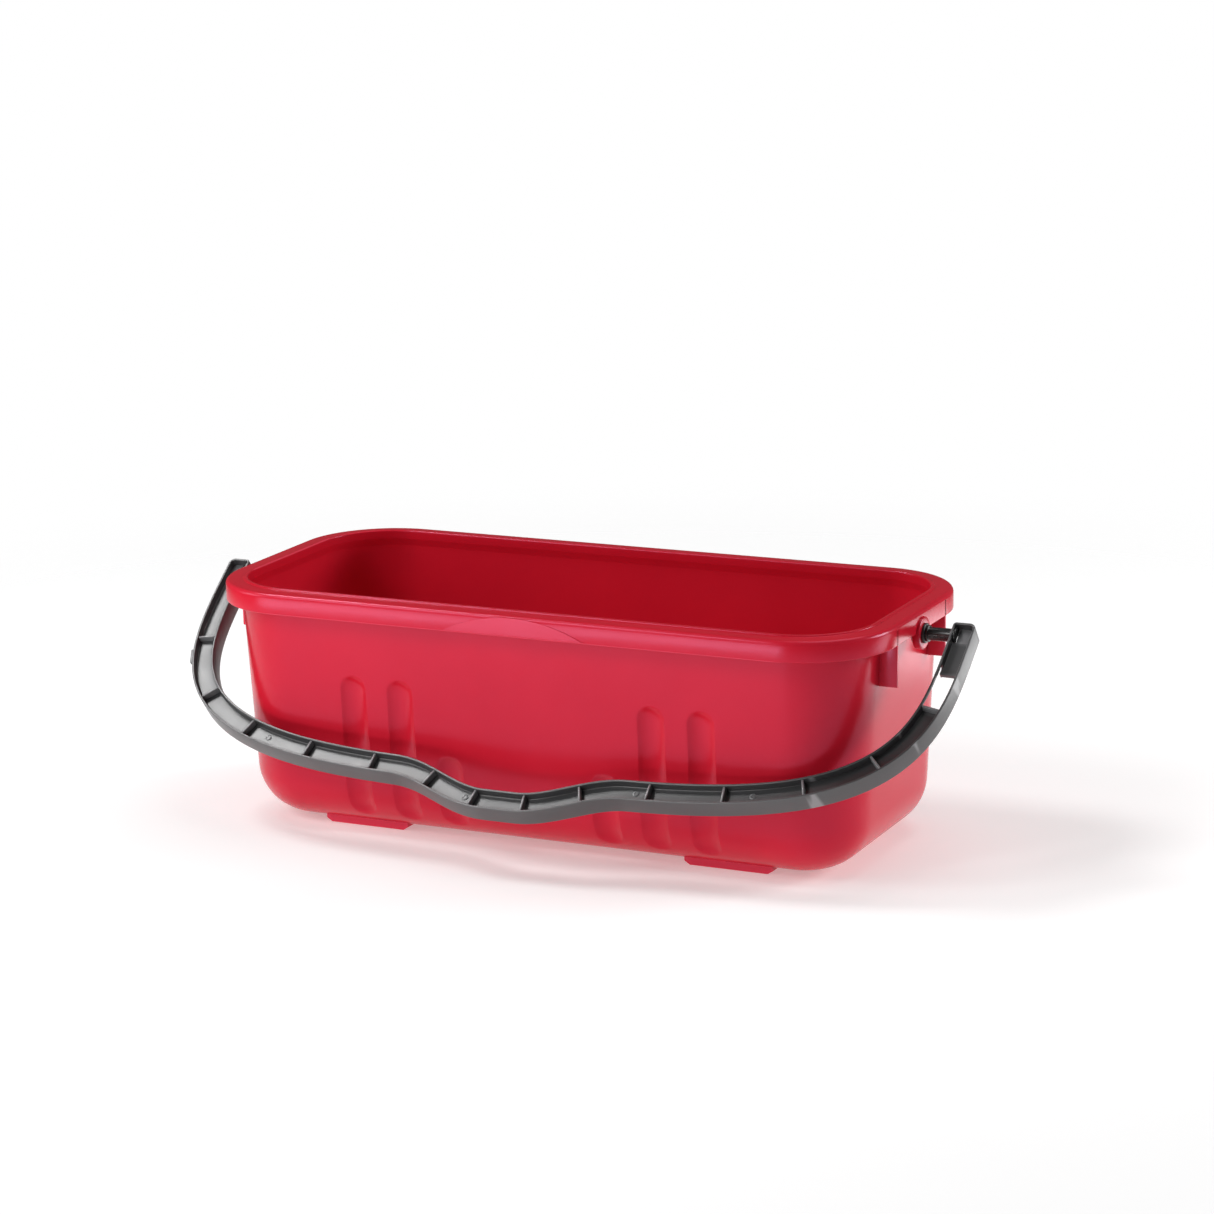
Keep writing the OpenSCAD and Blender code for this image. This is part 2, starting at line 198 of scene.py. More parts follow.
def spread(tree, value, low, high):
    """A value from 0 to 1 spread from low to high."""
    m = tree.nodes.new("ShaderNodeMapRange")
    m.inputs["To Min"].default_value = low
    m.inputs["To Max"].default_value = high
    tree.links.new(value, m.inputs["Value"])
    return m.outputs["Result"]


def grey(v, tint=0.0):
    return (v, v, v * (1 + tint), 1.0)


def mix(tree, factor, base, colour):
    """The base colour turned towards another colour by a factor that varies over the surface."""
    m = tree.nodes.new("ShaderNodeMix")
    m.data_type = "RGBA"
    first_colour, second_colour, result = m.inputs[6], m.inputs[7], m.outputs[2]
    tree.links.new(factor, m.inputs["Factor"])
    tree.links.new(base, first_colour)
    second_colour.default_value = colour
    return result


def edge_mask(tree, low, high):
    """Lighter along convex edges, from the surface's own pointiness: wear, and on the bail also a painted
    highlight.
    """
    g = tree.nodes.new("ShaderNodeNewGeometry")
    m = tree.nodes.new("ShaderNodeMapRange")
    m.inputs["From Min"].default_value = low
    m.inputs["From Max"].default_value = high
    tree.links.new(g.outputs["Pointiness"], m.inputs["Value"])
    return m.outputs["Result"]


def bump(tree, bsdf, layers):
    """Bump from (value, strength, distance in metres) layers."""
    normal = None
    for value, strength, distance in layers:
        b = tree.nodes.new("ShaderNodeBump")
        b.inputs["Strength"].default_value = strength
        b.inputs["Distance"].default_value = distance
        tree.links.new(value, b.inputs["Height"])
        if normal is not None:
            tree.links.new(normal, b.inputs["Normal"])
        normal = b.outputs["Normal"]
    tree.links.new(normal, bsdf.inputs["Normal"])


def red_plastic():
    mat, tree, bsdf = nodes_of("red_moulded_plastic")
    cloud = noise(tree, 6.0, 4.0)
    fine = noise(tree, 160.0, 2.0)
    deep, light = (0.58, 0.0095, 0.026, 1.0), (0.66, 0.0115, 0.030, 1.0)
    dust, edge = (0.70, 0.03, 0.045, 1.0), (0.76, 0.05, 0.09, 1.0)
    base = ramp(tree, cloud, [(0.3, deep), (0.7, light)])
    speck = ramp(tree, noise(tree, 900.0, 1.0), [(0.42, grey(0.0)), (0.9, grey(0.10))])
    base = mix(tree, speck, base, dust)
    wear_and_edge_highlight = mix(tree, edge_mask(tree, 0.52, 0.62), base, edge)
    tree.links.new(wear_and_edge_highlight, bsdf.inputs["Base Color"])
    tree.links.new(spread(tree, noise(tree, 22.0, 5.0, 0.6), 0.18, 0.27), bsdf.inputs["Roughness"])
    bsdf.inputs["IOR"].default_value = 1.49
    bsdf.inputs["Specular Tint"].default_value = (1.0, 0.55, 0.92, 1.0)
    bsdf.inputs["Specular IOR Level"].default_value = 0.36
    bump(tree, bsdf, [(noise(tree, 34.0, 3.0), 0.10, 0.0012), (fine, 0.08, 0.00025)])
    return mat


def black_plastic():
    mat, tree, bsdf = nodes_of("dark_moulded_plastic")
    base = ramp(tree, noise(tree, 14.0, 5.0), [(0.3, grey(0.022, 0.06)), (0.7, grey(0.036, 0.06))])
    # convex flange and rib edges turned light grey: wear plus a painted highlight where the edges catch the
    # light
    wear_and_edge_highlight = mix(tree, edge_mask(tree, 0.51, 0.60), base, grey(0.24, 0.04))
    tree.links.new(wear_and_edge_highlight, bsdf.inputs["Base Color"])
    tree.links.new(spread(tree, noise(tree, 60.0, 5.0, 0.65), 0.28, 0.40), bsdf.inputs["Roughness"])
    bsdf.inputs["IOR"].default_value = 1.55
    bsdf.inputs["Specular IOR Level"].default_value = 0.75
    bump(tree, bsdf, [(noise(tree, 420.0, 3.0), 0.22, 0.0002), (noise(tree, 45.0, 3.0), 0.12, 0.0008)])
    return mat


def pin_plastic():
    mat, tree, bsdf = nodes_of("black_pin_plastic")
    base = ramp(tree, noise(tree, 90.0, 4.0), [(0.3, grey(0.012)), (0.75, grey(0.026))])
    wear_and_edge_highlight = mix(tree, edge_mask(tree, 0.54, 0.68), base, grey(0.10))
    tree.links.new(wear_and_edge_highlight, bsdf.inputs["Base Color"])
    tree.links.new(spread(tree, noise(tree, 260.0, 3.0), 0.16, 0.30), bsdf.inputs["Roughness"])
    bump(tree, bsdf, [(noise(tree, 900.0, 2.0), 0.12, 0.0001)])
    return mat


def bush_plastic():
    mat, tree, bsdf = nodes_of("black_bush_plastic")
    base = ramp(tree, noise(tree, 120.0, 4.0), [(0.3, grey(0.018)), (0.75, grey(0.036))])
    wear_and_edge_highlight = mix(tree, edge_mask(tree, 0.54, 0.68), base, grey(0.12))
    tree.links.new(wear_and_edge_highlight, bsdf.inputs["Base Color"])
    tree.links.new(spread(tree, noise(tree, 200.0, 3.0), 0.26, 0.42), bsdf.inputs["Roughness"])
    bump(tree, bsdf, [(noise(tree, 700.0, 2.0), 0.15, 0.0001)])
    return mat


def clip_steel():
    mat, tree, bsdf = nodes_of("spring_steel")
    base = ramp(tree, noise(tree, 150.0, 5.0), [(0.3, grey(0.42)), (0.75, grey(0.58, 0.02))])
    tree.links.new(base, bsdf.inputs["Base Color"])
    bsdf.inputs["Metallic"].default_value = 1.0
    tree.links.new(spread(tree, noise(tree, 400.0, 4.0), 0.24, 0.42), bsdf.inputs["Roughness"])
    bump(tree, bsdf, [(noise(tree, 1200.0, 2.0), 0.15, 0.00008)])
    return mat


RED = red_plastic()
BLACK = black_plastic()
PIN = pin_plastic()
BUSH = bush_plastic()
STEEL = clip_steel()


# ---------------------------------------------------------------- mesh helpers
def band_faces(rows, size, closed=False):
    """Faces between neighbouring rows of points, where each row is a closed loop of the same size."""
    faces = []
    for i in range(rows if closed else rows - 1):
        j = (i + 1) % rows
        for k in range(size):
            q = (k + 1) % size
            faces.append((i * size + k, i * size + q, j * size + q, j * size + k))
    return faces


def cap_faces(rows, size):
    """The two faces that close a band's first and last row."""
    return [list(range(size)), list(range((rows - 1) * size, rows * size))]


def closed_box(cx, cy, cz, sx, sy, sz, bevel=0.4, matrix=None):
    """Corner points and faces of a box with cut edges."""
    bm = bmesh.new()
    bmesh.ops.create_cube(bm, size=1.0)
    for v in bm.verts:
        v.co = Vector((v.co.x * sx, v.co.y * sy, v.co.z * sz))
    bmesh.ops.bevel(bm, geom=list(bm.edges), offset=bevel, segments=2, profile=0.5, affect="EDGES")
    for v in bm.verts:
        v.co += Vector((cx, cy, cz))
        if matrix is not None:
            v.co = matrix @ v.co
    verts = [tuple(v.co) for v in bm.verts]
    faces = [[v.index for v in f.verts] for f in bm.faces]
    bm.free()
    return verts, faces


def joined(parts):
    """Several (points, faces) pairs as one."""
    verts, faces = [], []
    for v, f in parts:
        n = len(verts)
        verts += list(v)
        faces += [[i + n for i in face] for face in f]
    return verts, faces


def loop_of(points, steps=3):
    """A closed profile with its corners rounded, from (along, radius, corner radius)."""
    pts = [points[-1], *points, points[0]]
    return rounded(pts, steps)[1:-1]


def lathe(profile, x_sign, steps=48):
    """A ring or rod on the pivot axis: profile is a closed loop of (along the axis, radius)."""
    verts = []
    for k in range(steps):
        a = 2 * math.pi * k / steps
        for x, r in profile:
            verts.append((x_sign * x, r * math.cos(a), PIVOT_Z + r * math.sin(a)))
    return verts, band_faces(steps, len(profile), closed=True)


# ---------------------------------------------------------------- tub
def flute_depth(x, v):
    """How deep the flutes are at distance x along the wall and v up it."""
    best = 0.0
    soft_rest = 0.5 * (math.hypot(FLUTE_OUT, FLUTE_SOFT) - FLUTE_OUT)
    for fx, top in FLUTES:
        u = abs(abs(x) - fx)
        if u > FLUTE_R - 1:
            continue
        t = max(v - (top - FLUTE_HALF), FLUTE_LOW - v, 0.0)
        d = math.hypot(u, t)
        h = math.sqrt(max(FLUTE_R * FLUTE_R - d * d, 0.0)) - FLUTE_OUT
        best = max(best, 0.5 * (h + math.sqrt(h * h + FLUTE_SOFT_SQUARE)) - soft_rest)
        if d > FLUTE_R - 2:
            best = max(0.0, best - FLUTE_TRACE)
    return best


def side_samples():
    """Positions along the front wall, closer together across each flute."""
    across = (0, 2.5, 5, 7, 8.3, 9.2, 9.9, 10.4, 10.9, 11.4, 12.2, 13.4, 15.5)
    closest, widest = 0.35, 11.0
    xs = {-CORNER_X, CORNER_X, 0.0}
    for fx, _top in FLUTES:
        for a in across:
            for x in (fx - a, fx + a):
                xs.update((x, -x))
    xs = sorted(round(x, 3) for x in xs)
    out = [xs[0]]
    for x in xs[1:]:
        gap = x - out[-1]
        if gap < closest:
            continue
        steps = max(1, math.ceil(gap / widest))
        start = out[-1]
        out += [start + gap * k / steps for k in range(1, steps + 1)]
    out[-1] = CORNER_X
    return out


def stations(corner_steps=18, end_steps=10):
    """Places round the plan: (corner-centre x, y, outward x, y, x along the wall or None)."""
    xs = side_samples()
    across = [-CORNER_Y + 2 * CORNER_Y * k / end_steps for k in range(end_steps)]
    right_end = [(CORNER_X, y, 1.0, 0.0, None) for y in across]
    back = [(x, CORNER_Y, 0.0, 1.0, x) for x in reversed(xs[1:])]
    left_end = [(-CORNER_X, -y, -1.0, 0.0, None) for y in across]
    corners = ((CORNER_X, -CORNER_Y, -90, right_end), (CORNER_X, CORNER_Y, 0, back),
               (-CORNER_X, CORNER_Y, 90, left_end), (-CORNER_X, -CORNER_Y, 180, []))
    out = [(x, -CORNER_Y, 0.0, -1.0, x) for x in xs[:-1]]
    for cx, cy, start, side in corners:
        for k in range(corner_steps):
            a = math.radians(start + 90 * k / corner_steps)
            out.append((cx, cy, math.cos(a), math.sin(a), None))
        out += side
    return out


def wall_levels():
    """Heights on the straight wall, closer together at the flutes' round tops."""
    short_tops = [57, 58.5, 60, 61.2, 62.4, 63.6, 64.8, 66, 67, 68, 68.8, 69.4, 70, 70.7, 72]
    long_tops = [114, 115.6, 117, 118.3, 119.6, 120.8, 122, 123, 124, 124.8, 125.4, 126, 126.8, 128.5]
    return [46, 50, 54, *short_tops, 76, 84, 93, 102, 109, 112, *long_tops, 132, 140, 150, 160, 168]


def wall_profile(thick, steps=30):
    """(distance, height, outward normal, place up the wall) from the base round to under the rim."""
    out = []
    r = EDGE_R - thick
    for k in range(steps + 1):
        a = math.radians(90) + (LEAN - math.radians(90)) * k / steps
        v = TOUCH_Z - EDGE_R * (a - LEAN)
        out.append((EDGE_C + r * math.cos(a), EDGE_Z - r * math.sin(a), math.cos(a), -math.sin(a), v))
    c, s = math.cos(LEAN), math.sin(LEAN)
    for z in wall_levels():
        out.append((wall_r(z) - thick * c, z + thick * s, c, -s, z))
    return out


def tub_profile():
    """The tub's section in the form of wall_profile: floor, inside, rim, skirt, outside, underside."""
    inner = wall_profile(WALL_T)
    outer = wall_profile(0.0)
    top_in, top_out = inner[-1], outer[-1]
    rim = rounded([
        (top_in[0], top_in[1], 0),
        (wall_r(FLARE_LOW) - WALL_T, FLARE_LOW, 6),
        (MOUTH_R, FLARE_TOP, 3),
        (MOUTH_R, LIP_TOP, 1.1),
        (MOUTH_R + LIP_W - 0.2, LIP_TOP, 1.0),
        (MOUTH_R + LIP_W + 0.5, RIM_TOP, 0.8),
        (RIM_R, RIM_TOP, 3.4),
        (RIM_R, SKIRT_LOW, 0.9),
        (RIM_R - RIM_T, SKIRT_LOW, 0.7),
        (RIM_R - RIM_T, SHELF_UNDER, 1.5),
        (wall_r(SHELF_UNDER), SHELF_UNDER, 1.5),
        (wall_r(top_out[1]), top_out[1], 0)])
    up = [(EDGE_C * k / 3, BASE_Z + WALL_T) + NO_FLUTES for k in (0, 1, 2)]
    up += inner
    up += [point + NO_FLUTES for point in rim[1:-1]]
    up += list(reversed(outer))
    up += [(EDGE_C * k / 3, BASE_Z) + NO_FLUTES for k in (2, 1, 0)]
    return up


def tub_mesh():
    """The tub's section taken round its plan, with the flutes pressed into both long walls."""
    sts, prof = stations(), tub_profile()
    n, m = len(sts), len(prof)
    verts = []
    for r, z, nr, nz, v in prof:
        for cx, cy, ox, oy, x in sts:
            d = flute_depth(x, v) if x is not None and FLUTE_FROM < v < FLUTE_TO else 0.0
            rr, zz = r - d * nr, z - d * nz
            verts.append((cx + ox * rr, cy + oy * rr, zz))
    faces = band_faces(m, n)
    for row in (0, m - 1):
        ring = []
        for i in range(n):
            p = verts[row * n + i]
            if not ring or (Vector(p) - Vector(verts[ring[-1]])).length > 1e-4:
                ring.append(row * n + i)
        faces.append(ring)
    return verts, faces


def crescent(sign):
    """The low raised crescent on the skirt at the front or the back, with sloping edges."""
    half, high, rise, sunk = 58.5, 14.5, 0.5, 1.0
    edge, top_edge = 0.9, 1.2
    narrower, lower = 0.992, 0.965
    r = (half * half + high * high) / (2 * high)
    span = math.asin(half / r)
    outline = []
    for a in np.linspace(-span, span, 57):
        outline.append((r * math.sin(a), max(SKIRT_LOW + high - r + r * math.cos(a), SKIRT_LOW + edge)))
    top = [(x * narrower, SKIRT_LOW + top_edge + (z - SKIRT_LOW - edge) * lower) for x, z in outline]
    y0 = CORNER_Y + RIM_R
    verts = []
    for line, out in ((outline, -sunk), (outline, rise * 0.25), (top, rise)):
        verts += [(x, sign * (y0 + out), z) for x, z in line]
    size = len(outline)
    return verts, cap_faces(3, size) + band_faces(3, size)


def foot(sx, sy):
    """A low foot whose ends slope and whose top runs into the base round."""
    middle, half, slant, slope_ratio = 150, 35.0, 2.6, 1.6
    front, back, edge, top = 80.0, 50.0, 0.8, 4.6
    rise = EDGE_Z - math.sqrt((EDGE_R - WALL_T / 2) ** 2 - (front - CORNER_Y - EDGE_C) ** 2)
    sloped = half - slant * slope_ratio
    verts = []
    for x, z0 in ((-half, slant), (-sloped, 0), (sloped, 0), (half, slant)):
        section = ((back, z0), (front - edge, z0), (front, z0 + edge),
                   (front, rise), (CORNER_Y + EDGE_C, top), (back, top))
        verts += [(sx * (middle + x), sy * y, z) for y, z in section]
    return verts, band_faces(4, 6) + cap_faces(4, 6)


def end_ribs():
    """The two upright ribs under the rim at each end."""
    middle_x, middle_z, side_y = 262.6, 162.6, 49.0
    length, thick, high = 14.8, 2.5, 43.2
    ribs = []
    for sx in (-1, 1):
        for sy in (-1, 1):
            ribs.append(closed_box(sx * middle_x, sy * side_y, middle_z, length, thick, high, 0.5))
    return ribs


def bosses():
    """The round boss at each end that holds a bush."""
    profile = [(BOSS_BACK, BUSH_R, 0.2), (BOSS_BACK, BOSS_R, 0.8), (BOSS_FACE, BOSS_R, 1.0),
               (BOSS_FACE, BUSH_R, 0.3)]
    return [lathe(loop_of(profile), sx, 64) for sx in (-1, 1)]


def build_tub():
    shell = new_object("tub_shell", *joined([tub_mesh(), crescent(-1), crescent(1)]), "tub", RED,
                       "red_plastic", 32)
    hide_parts("tub")
    new_object("tub_end_ribs", *joined(end_ribs()), "tub", RED, "red_plastic")
    new_object("tub_bosses", *joined(bosses()), "tub", RED, "red_plastic")
    feet = [foot(sx, sy) for sx in (-1, 1) for sy in (-1, 1)]
    new_object("tub_feet", *joined(feet), "tub", RED, "red_plastic")


# ---------------------------------------------------------------- bail
def reach(x):
    """How far the bail's centre line is from the pivot axis at x."""
    along = max(0.0, abs(x) - GRIP_FLAT) / (GRIP_HALF - GRIP_FLAT)
    grip = GRIP_REACH * (1 + math.cos(math.pi * along)) / 2 if along < 1 else 0.0
    return BAIL_REACH * max(0.0, 1 - (abs(x) / BAIL_HALF) ** SQUARE) ** (1 / SQUARE) + grip


def half_at(s):
    """How far the arm's centre line is from the middle at distance s from the pivot axis."""
    return BAIL_HALF * max(0.0, 1 - (max(s, 0.0) / BAIL_REACH) ** SQUARE) ** (1 / SQUARE)


def bail_path():
    """Centre line of the right half, from the pivot to the middle of the span, as (x, -s, s)."""
    span_from, arm_step, corner_points, span_points = 285.0, 3.0, 22, 110
    marks = sorted({0.0, WEB_START, 14.0, 22.0, *FLANGE_CUT, *WINDOW})
    arm = []
    for lo, hi in zip(marks, marks[1:]):
        steps = max(1, math.ceil((hi - lo) / arm_step))
        arm += [lo + (hi - lo) * k / steps for k in range(steps)]
    arm += list(np.linspace(marks[-1], reach(span_from), corner_points))[:-1]
    out = [(half_at(s), -s, s) for s in arm]
    out += [(x, -reach(x), reach(x)) for x in np.linspace(span_from, 0.0, span_points)]
    return out


def sideways(points):
    """Points of a path and the direction square to it at each, towards the outside of the bail."""
    pts = np.array([(x, y) for x, y, _s in points])
    along = np.concatenate([[0.0], np.cumsum(np.linalg.norm(np.diff(pts, axis=0), axis=1))])
    tan = np.gradient(pts, along, axis=0)
    tan /= np.linalg.norm(tan, axis=1)[:, None]
    return pts, np.stack([-tan[:, 1], tan[:, 0]], 1)


def offset_line(points, distance):
    """The path moved square to itself by a distance."""
    pts, side = sideways(points)
    return pts + side * distance


def section_at(point, side, loop):
    """A section's points where the bail's path has this point: loop is (across, out of the plane)."""
    out = []
    for w, off in loop:
        q = point + side * w
        out.append(tuple(TO_ROW @ Vector((q[0], q[1], off))))
    return out


def swept_strip(line, depths, thick):
    """A closed band: line is its middle, depths its (back, front) at each point."""
    pts = np.array(line)
    tan = np.roll(pts, -1, 0) - np.roll(pts, 1, 0)
    tan /= np.linalg.norm(tan, axis=1)[:, None]
    side = np.stack([-tan[:, 1], tan[:, 0]], 1)
    h, tip = thick / 2, min(0.62, thick * 0.38)
    verts = []
    for p, n, (back, front) in zip(pts, side, depths):
        loop = loop_of([(h, back, tip), (h, front, tip), (-h, front, tip), (-h, back, tip)], 4)
        verts += section_at(p, n, loop)
    return verts, band_faces(len(pts), len(loop), closed=True)


def arm_end():
    """The band's line round the right arm's end: a large outer corner, then a small inner one."""
    mid = HALF_W - FLANGE / 2
    top = ARM_PAST - FLANGE / 2
    big, small = END_R - FLANGE / 2, 1.6
    quarter = math.pi / 2
    outer, inner = [], []
    for a in (quarter * k / 10 for k in range(11)):
        outer.append((BAIL_HALF + mid - big + big * math.cos(a), top - big + big * math.sin(a)))
    for a in (quarter * k / 4 for k in range(5)):
        inner.append((BAIL_HALF - mid + small - small * math.sin(a), top - small + small * math.cos(a)))
    start, gap = outer[-1][0], inner[0][0] - outer[-1][0]
    return outer + [(start + gap * k, top) for k in (0.33, 0.66)] + inner


def flange_frame():
    """Both flanges and the two arm ends, as one band that runs round the bail's outline."""
    mid = HALF_W - FLANGE / 2
    half = bail_path()
    outer, inner = offset_line(half, mid), offset_line(half, -mid)
    full, cut = (BACK, FRONT), (FRONT - STRIP, FRONT)
    hair = np.array([0, -0.02])
    line, depths = [], []

    def add(p, d):
        line.append((float(p[0]), float(p[1])))
        depths.append(d)

    for p in [*reversed(outer), *arm_end()]:
        add(p, full)
    left = [(-x, y) for x, y in line]
    for (_x, _y, s), p in zip(half, inner):
        if abs(s - FLANGE_CUT[0]) < 1e-6:
            add(p, full)
            add(p + hair, cut)
        elif abs(s - FLANGE_CUT[1]) < 1e-6:
            add(p, cut)
            add(p + hair, full)
        else:
            add(p, cut if FLANGE_CUT[0] < s < FLANGE_CUT[1] else full)
    # the left half has no window, so its inner flange keeps its full depth
    left += [(-float(p[0]), float(p[1])) for p in inner]
    for p in left[::-1][1:-1]:
        add(p, full)
    return swept_strip(line, depths, FLANGE)


def web_section():
    """Outline of the web with its fillets, as (across, out of the plane)."""
    over, low, fillet = POCKET + 0.5, FLOOR - WEB, WEB_FILLET * 0.98
    top = rounded([(-over, FLOOR + WEB_FILLET, 0), (-POCKET, FLOOR + WEB_FILLET, 0),
                   (-POCKET, FLOOR, fillet), (POCKET, FLOOR, fillet),
                   (POCKET, FLOOR + WEB_FILLET, 0), (over, FLOOR + WEB_FILLET, 0)])
    bottom = rounded([(over, low - WEB_FILLET, 0), (POCKET, low - WEB_FILLET, 0),
                      (POCKET, low, fillet), (-POCKET, low, fillet),
                      (-POCKET, low - WEB_FILLET, 0), (-over, low - WEB_FILLET, 0)])
    return top + bottom


def swept_web(points):
    """The web along a path, closed at both ends."""
    loop = web_section()
    pts, side = sideways(points)
    verts = []
    for p, n in zip(pts, side):
        verts += section_at(p, n, loop)
    return verts, band_faces(len(pts), len(loop)) + cap_faces(len(pts), len(loop))


def web_by_pin(sign):
    """The part of the web beside the pin's head, up to the arm's end."""
    overlap = 0.3
    x0, x1 = ARM_CELL + HEAD_T + 0.5, BAIL_HALF + POCKET + overlap
    y0, y1 = -WEB_START - 2 * overlap, ARM_PAST - FLANGE + overlap
    middle = (sign * (x0 + x1) / 2, (y0 + y1) / 2, FLOOR - WEB / 2)
    return closed_box(*middle, x1 - x0, y1 - y0, WEB, 0.7, TO_ROW)


def webs():
    """The web: unbroken on the left, open at the window on the right, and a plate by each pin."""
    half = bail_path()
    right = [p for p in half if p[2] >= WINDOW[1] - 1e-6]
    left = [(-x, y, s) for x, y, s in half if s >= WEB_START - 1e-6]
    above_window = [(half_at(s), -s, s) for s in np.linspace(WEB_START, WINDOW[0], 9)]
    return [swept_web(right + left[::-1][1:]), swept_web(above_window), web_by_pin(1), web_by_pin(-1)]


def rib_box(x, y, tx, ty):
    """A cross rib at (x, y) of the bail's plane, square to the path's direction (tx, ty)."""
    thick, overlap = 1.7, 0.4
    low, high = BACK + 1.0, FRONT - 1.0
    turn = Matrix.Rotation(math.atan2(ty, tx), 4, "Z")
    place = TO_ROW @ Matrix.Translation((x, y, (low + high) / 2)) @ turn
    return closed_box(0, 0, 0, thick, 2 * POCKET + 2 * overlap, high - low, 0.4, place)


def cross_ribs():
    """The ribs along the span and the one below the window's place in each arm."""
    ribs = []
    arm_x, arm_turn = half_at(LOW_RIB), half_at(LOW_RIB + 1) - half_at(LOW_RIB - 1)
    for side in (-1, 1):
        for x in SPAN_RIBS:
            ribs.append(rib_box(side * x, -reach(x), 2.0, reach(side * x - 1) - reach(side * x + 1)))
        ribs.append(rib_box(side * arm_x, -LOW_RIB, side * arm_turn, -2.0))
    return ribs


def ejector_mark(x, steps=24):
    """A shallow round dish on the web's floor, as a mould's ejector pin leaves."""
    radius, high, sunk, off_middle = 2.5, 0.5, 0.05, 1.0
    y, z = -reach(x) + off_middle, FLOOR - sunk
    section = [(radius, 0), (radius, high * 0.6), (radius * 0.86, high), (radius * 0.6, high),
               (radius * 0.5, high * 0.55)]
    verts = []
    for r, h in section:
        for k in range(steps):
            a = 2 * math.pi * k / steps
            verts.append(tuple(TO_ROW @ Vector((x + r * math.cos(a), y + r * math.sin(a), z + h))))
    return verts, band_faces(len(section), steps) + cap_faces(len(section), steps)


def side_tab():
    """The small tab on the outside of the left arm."""
    sunk = 0.4
    lean = math.atan2(half_at(TAB_AT - 1) - half_at(TAB_AT + 1), 2.0)
    place = (TO_ROW @ Matrix.Translation((-half_at(TAB_AT), -TAB_AT, FRONT - 1.0 - TAB_WIDE / 2))
             @ Matrix.Rotation(lean, 4, "Z"))
    return closed_box(-HALF_W - TAB_OUT / 2 + sunk, 0, 0, TAB_OUT + 2 * sunk, TAB_LONG, TAB_WIDE, 0.5, place)


def build_bail():
    flanges = new_object("bail_flanges", *flange_frame(), "handle", BLACK, "black_plastic", 40)
    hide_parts("handle")
    marks = [ejector_mark(x) for x in MARKS]
    pieces = (("bail_web", joined(webs())), ("bail_ribs", joined(cross_ribs())),
              ("bail_side_tab", side_tab()), ("bail_ejector_marks", joined(marks)))
    for name, (verts, faces) in pieces:
        new_object(name, verts, faces, "handle", BLACK, "black_plastic", 40)


# ---------------------------------------------------------------- pivots
def pin_mesh(sx):
    """Pin with a rounded tip, a collar against the arm's inner side and a head inside the arm."""
    profile = [(PIN_TIP, AXIS_R, 0), (PIN_TIP, PIN_R - 0.5, 0.4), (PIN_TIP + 0.65, PIN_R, 0.3),
               (COLLAR_IN, PIN_R, 0.2), (COLLAR_IN, COLLAR_R, 0.4),
               (COLLAR_OUT, COLLAR_R, 0.4), (COLLAR_OUT, PIN_R, 0.3),
               (ARM_CELL, PIN_R, 0.2), (ARM_CELL, HEAD_R, 0.4),
               (ARM_CELL + HEAD_T, HEAD_R, 0.7), (ARM_CELL + HEAD_T, AXIS_R, 0)]
    return lathe(loop_of(profile), sx)


def bush_mesh(sx):
    """Bush through the boss, with its flange on the boss's face."""
    profile = [(BOSS_BACK, BUSH_BORE, 0.2), (BOSS_BACK, BUSH_R, 0.2),
               (BOSS_FACE, BUSH_R, 0.1), (BOSS_FACE, BUSH_FLANGE_R, 0.3),
               (BUSH_FACE, BUSH_FLANGE_R, 0.6), (BUSH_FACE, BUSH_BORE, 0.4)]
    return lathe(loop_of(profile), sx)


def clip_mesh(sx, steps=40):
    """Open spring ring with rounded edges and blunt ends."""
    back, front, bore, outer = 264.15, 266.15, 4.92, 8.0
    gap = math.radians(44)
    profile = loop_of([(back, bore, 0.25), (back, outer, 0.35), (front, outer, 0.35), (front, bore, 0.25)])
    verts = []
    for k in range(steps + 1):
        a = gap + (2 * math.pi - 2 * gap) * k / steps
        for x, r in profile:
            verts.append((sx * x, r * math.sin(a), PIVOT_Z - r * math.cos(a)))
    return verts, band_faces(steps + 1, len(profile)) + cap_faces(steps + 1, len(profile))


def build_pivots():
    for side, sx in (("left", -1), ("right", 1)):
        pin = new_object("pivot_pin_turned_" + side, *pin_mesh(sx), "handle", PIN, "pin_plastic", 40)
        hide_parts("pivot_pin_" + side)
        bush = new_object("pivot_bush_turned_" + side, *bush_mesh(sx), "tub", BUSH, "bush_plastic", 40)
        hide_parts("pivot_bush_" + side)
        clip = new_object("pin_clip_ring_" + side, *clip_mesh(sx), "handle", STEEL, "clip_steel", 40)
        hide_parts("pin_clip_" + side)


build_tub()
build_bail()
build_pivots()


# ---------------------------------------------------------------- stage, light and camera
def floor_material():
    """Pale floor that fades out into the backdrop with distance from the middle."""
    mat, tree, bsdf = nodes_of("pale_floor")
    base = ramp(tree, noise(tree, 1.5, 2.0), [(0.3, grey(0.86)), (0.7, grey(0.88))])
    tree.links.new(base, bsdf.inputs["Base Color"])
    bsdf.inputs["Roughness"].default_value = 0.7
    bsdf.inputs["Specular IOR Level"].default_value = 0.1
    bsdf.inputs["Emission Color"].default_value = (1.0, 1.0, 1.0, 1.0)
    bsdf.inputs["Emission Strength"].default_value = 0.3
    coords = tree.nodes.new("ShaderNodeTexCoord")
    length = tree.nodes.new("ShaderNodeVectorMath")
    length.operation = "LENGTH"
    tree.links.new(coords.outputs["Object"], length.inputs[0])
    fade = tree.nodes.new("ShaderNodeMapRange")
    fade.interpolation_type = "SMOOTHSTEP"
    fade.inputs["From Min"].default_value = 0.5
    fade.inputs["From Max"].default_value = 1.3
    fade.inputs["To Min"].default_value = 1.0
    fade.inputs["To Max"].default_value = 0.0
    tree.links.new(length.outputs["Value"], fade.inputs["Value"])
    tree.links.new(fade.outputs["Result"], bsdf.inputs["Alpha"])
    return mat


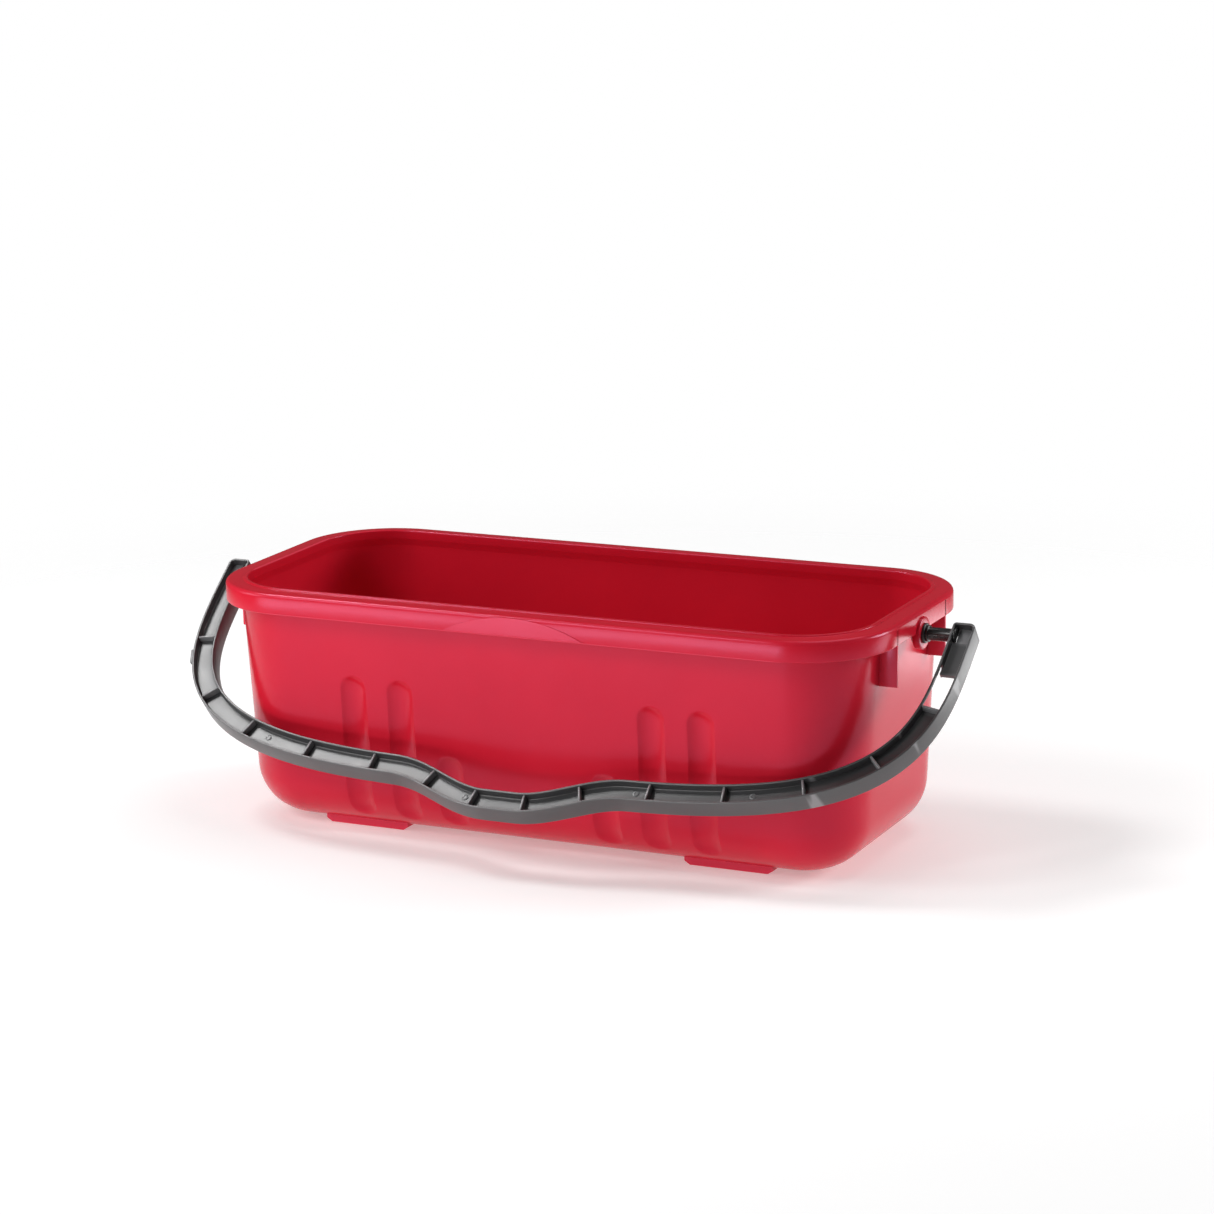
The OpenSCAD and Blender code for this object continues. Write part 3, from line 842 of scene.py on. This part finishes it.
def build_floor():
    size = 6.0
    corners = [(-size, -size, 0), (size, -size, 0), (size, size, 0), (-size, size, 0)]
    mesh = bpy.data.meshes.new("floor")
    mesh.from_pydata(corners, [], [(0, 1, 2, 3)])
    obj = bpy.data.objects.new("floor", mesh)
    bpy.context.collection.objects.link(obj)
    mesh.materials.append(floor_material())


def area_light(name, place, aim, size_x, size_y, power):
    """A soft rectangular light: place and aim in metres, power in watts."""
    data = bpy.data.lights.new(name, "AREA")
    data.shape = "RECTANGLE"
    data.size, data.size_y = size_x, size_y
    data.energy = power
    obj = bpy.data.objects.new(name, data)
    bpy.context.collection.objects.link(obj)
    obj.location = place
    obj.rotation_mode = "QUATERNION"
    obj.rotation_quaternion = (Vector(aim) - Vector(place)).to_track_quat("-Z", "Y")


def build_light():
    middle = (0, 0, 0.1)
    area_light("soft_top_left", (-1.28, -0.2, 2.0), middle, 0.6, 0.55, 17)
    area_light("soft_key", (-1.05, -1.55, 1.65), middle, 0.8, 0.8, 15)
    area_light("soft_left", (-2.2, -1.1, 0.9), middle, 1.2, 1.0, 13)
    area_light("soft_front", (-0.9, -2.4, 1.0), middle, 1.4, 1.0, 6)
    area_light("soft_back_right", (1.9, 1.2, 0.85), (0.2, 0, 0.1), 1.0, 0.8, 28)
    area_light("soft_above", (0.5, 0.6, 2.4), middle, 1.6, 1.6, 14)
    area_light("low_card_front", (-0.45, -0.95, 0.02), (-0.45, -0.8, 1.0), 1.2, 0.5, 13)
    area_light("low_card_right", (0.78, 0.55, 0.02), (0.74, 0.5, 1.0), 0.6, 0.7, 3.2)


def build_world():
    """White for the camera, and much dimmer as a light."""
    world = bpy.data.worlds.new("studio")
    world.use_nodes = True
    tree = world.node_tree
    tree.nodes["Background"].inputs["Color"].default_value = (1, 1, 1, 1)
    rays = tree.nodes.new("ShaderNodeLightPath")
    level = tree.nodes.new("ShaderNodeMapRange")
    level.inputs["To Min"].default_value = 0.08
    level.inputs["To Max"].default_value = 1.0
    tree.links.new(rays.outputs["Is Camera Ray"], level.inputs["Value"])
    tree.links.new(level.outputs["Result"], tree.nodes["Background"].inputs["Strength"])
    bpy.context.scene.world = world


def build_camera():
    az, el, roll = math.radians(25.85), math.radians(14.88), math.radians(-1.24)
    aim, distance = Vector((0, 0, 0.093)), 2.807
    look = Vector((-math.sin(az) * math.cos(el), math.cos(az) * math.cos(el), -math.sin(el)))
    right = Vector((math.cos(az), math.sin(az), 0))
    up = right.cross(look)
    turned_right = right * math.cos(roll) + up * math.sin(roll)
    turned_up = up * math.cos(roll) - right * math.sin(roll)
    data = bpy.data.cameras.new("camera")
    data.sensor_width = 36.0
    data.lens = 109.72
    data.shift_x, data.shift_y = 0.0163, 0.0776
    data.clip_start, data.clip_end = 0.1, 200.0
    obj = bpy.data.objects.new("camera", data)
    bpy.context.collection.objects.link(obj)
    basis = Matrix((turned_right, turned_up, -look)).transposed()
    obj.matrix_world = Matrix.Translation(aim - look * distance) @ basis.to_4x4()
    bpy.context.scene.camera = obj


build_floor()
build_light()
build_world()
build_camera()
bpy.context.scene.view_settings.view_transform = "Standard"
